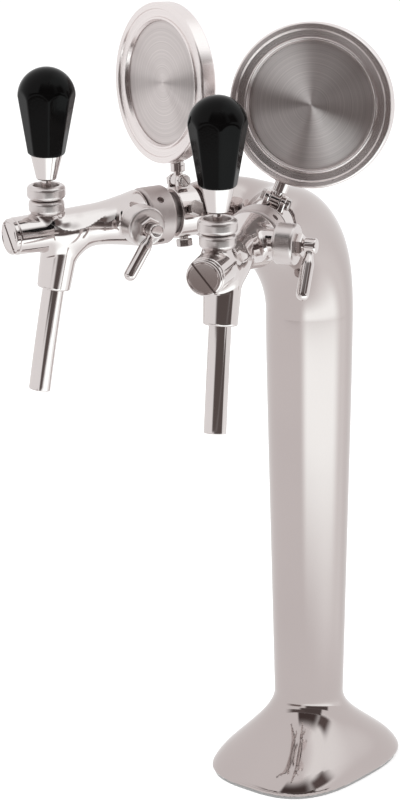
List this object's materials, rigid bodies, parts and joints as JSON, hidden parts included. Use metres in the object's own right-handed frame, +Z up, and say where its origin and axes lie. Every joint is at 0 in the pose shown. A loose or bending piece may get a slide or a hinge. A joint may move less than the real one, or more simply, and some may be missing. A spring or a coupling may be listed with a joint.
{
  "type": "beer tower",
  "caption": "Chrome swan-neck beer tower with splayed compensator taps, black faceted handles, round badges and a flared foot",
  "frame": {"origin": "on the column's axis at the counter, the centre of the four mounting holes", "axes": "+Z up the column, -Y the tower's front where the taps point, +X to the right seen from the front"},
  "size_m": [0.1821, 0.2398, 0.4719],
  "materials": {
    "tower_chrome": "polished",
    "fitting_chrome": "polished",
    "badge_chrome": "polished",
    "brushed_disc": "circular brushed",
    "grip_black": "gloss",
    "line_steel": "satin",
    "screw_steel": "bright",
    "zinc_steel": "zinc plated",
    "valve_brass": "machined",
    "cone_plastic": "moulded",
    "black_rubber": "matte"
  },
  "bodies": {
    "tower": {"tower_column": "tower_chrome", "base_gasket": "black_rubber", "base_plate": "zinc_steel", "beer_line_left": "line_steel", "beer_line_right": "line_steel", "shank_left": "fitting_chrome", "shank_right": "fitting_chrome", "coupling_nut_left": "fitting_chrome", "coupling_nut_right": "fitting_chrome", "tail_washer_left": "black_rubber", "tail_washer_right": "black_rubber", "badge_bracket_left": "fitting_chrome", "badge_bracket_right": "fitting_chrome", "bracket_screws_left": "screw_steel", "bracket_screws_right": "screw_steel", "badge_pivot_screw_left": "screw_steel", "badge_pivot_screw_right": "screw_steel", "tap_body_left": "fitting_chrome", "tap_body_right": "fitting_chrome", "barrel_plug_left": "fitting_chrome", "barrel_plug_right": "fitting_chrome", "bonnet_left": "fitting_chrome", "bonnet_right": "fitting_chrome", "lever_nut_left": "fitting_chrome", "lever_nut_right": "fitting_chrome", "spout_left": "fitting_chrome", "spout_right": "fitting_chrome", "compensator_gland_left": "fitting_chrome", "compensator_gland_right": "fitting_chrome", "compensator_seal_left": "black_rubber", "compensator_seal_right": "black_rubber"},
    "badge_left": {"badge_stem_left": "fitting_chrome", "badge_frame_left": "badge_chrome", "badge_disc_left": "brushed_disc", "badge_screws_left": "screw_steel"},
    "handle_left": {"handle_lever_left": "line_steel", "handle_ferrule_left": "fitting_chrome", "handle_grip_left": "grip_black"},
    "valve_left": {"valve_piston_left": "valve_brass", "valve_seal_left": "black_rubber"},
    "compensator_left": {"compensator_shaft_left": "fitting_chrome", "compensator_lever_left": "fitting_chrome"},
    "cone_left": {"compensator_cone_left": "cone_plastic"},
    "badge_right": {"badge_stem_right": "fitting_chrome", "badge_frame_right": "badge_chrome", "badge_disc_right": "brushed_disc", "badge_screws_right": "screw_steel"},
    "handle_right": {"handle_lever_right": "line_steel", "handle_ferrule_right": "fitting_chrome", "handle_grip_right": "grip_black"},
    "valve_right": {"valve_piston_right": "valve_brass", "valve_seal_right": "black_rubber"},
    "compensator_right": {"compensator_shaft_right": "fitting_chrome", "compensator_lever_right": "fitting_chrome"},
    "cone_right": {"compensator_cone_right": "cone_plastic"}
  },
  "joints": [
    {"name": "badge_tilt_left", "type": "hinge", "parent": "tower", "child": "badge_left", "pos_m": [-0.03312, -0.0778, 0.37223], "axis": [0.9194, -0.3529, 0.1736], "range_deg": [-10, 25]},
    {"name": "handle_pull_left", "type": "hinge", "parent": "tower", "child": "handle_left", "pos_m": [-0.06056, -0.15778, 0.3736], "axis": [0.9336, -0.3584, 0], "range_deg": [0, 25]},
    {"name": "valve_slide_left", "type": "slide", "parent": "tower", "child": "valve_left", "axis": [0.3584, 0.9336, 0], "range_m": [0, 0.0082]},
    {"name": "compensator_turn_left", "type": "hinge", "parent": "tower", "child": "compensator_left", "pos_m": [-0.01058, -0.12662, 0.3572], "axis": [-0.9336, 0.3584, 0], "range_deg": [-30, 60]},
    {"name": "cone_slide_left", "type": "slide", "parent": "tower", "child": "cone_left", "axis": [-0.3584, -0.9336, 0], "range_m": [-0.0019, 0.0037]},
    {"name": "badge_tilt_right", "type": "hinge", "parent": "tower", "child": "badge_right", "pos_m": [0.03587, -0.07674, 0.37144], "axis": [0.8773, 0.3368, -0.342], "range_deg": [-10, 25]},
    {"name": "handle_pull_right", "type": "hinge", "parent": "tower", "child": "handle_right", "pos_m": [0.06056, -0.15778, 0.3736], "axis": [0.9336, 0.3584, 0], "range_deg": [0, 25]},
    {"name": "valve_slide_right", "type": "slide", "parent": "tower", "child": "valve_right", "axis": [-0.3584, 0.9336, 0], "range_m": [0, 0.0082]},
    {"name": "compensator_turn_right", "type": "hinge", "parent": "tower", "child": "compensator_right", "pos_m": [0.07686, -0.10117, 0.3572], "axis": [-0.9336, -0.3584, 0], "range_deg": [-30, 60]},
    {"name": "cone_slide_right", "type": "slide", "parent": "tower", "child": "cone_right", "axis": [0.3584, -0.9336, 0], "range_m": [-0.0019, 0.0037]}
  ],
  "couplings": [
    {"joint": "valve_slide_left", "follows": "handle_pull_left", "m_per_rad": 0.0182},
    {"joint": "cone_slide_left", "follows": "compensator_turn_left", "m_per_rad": 0.0034},
    {"joint": "valve_slide_right", "follows": "handle_pull_right", "m_per_rad": 0.0182},
    {"joint": "cone_slide_right", "follows": "compensator_turn_right", "m_per_rad": 0.0034}
  ]
}
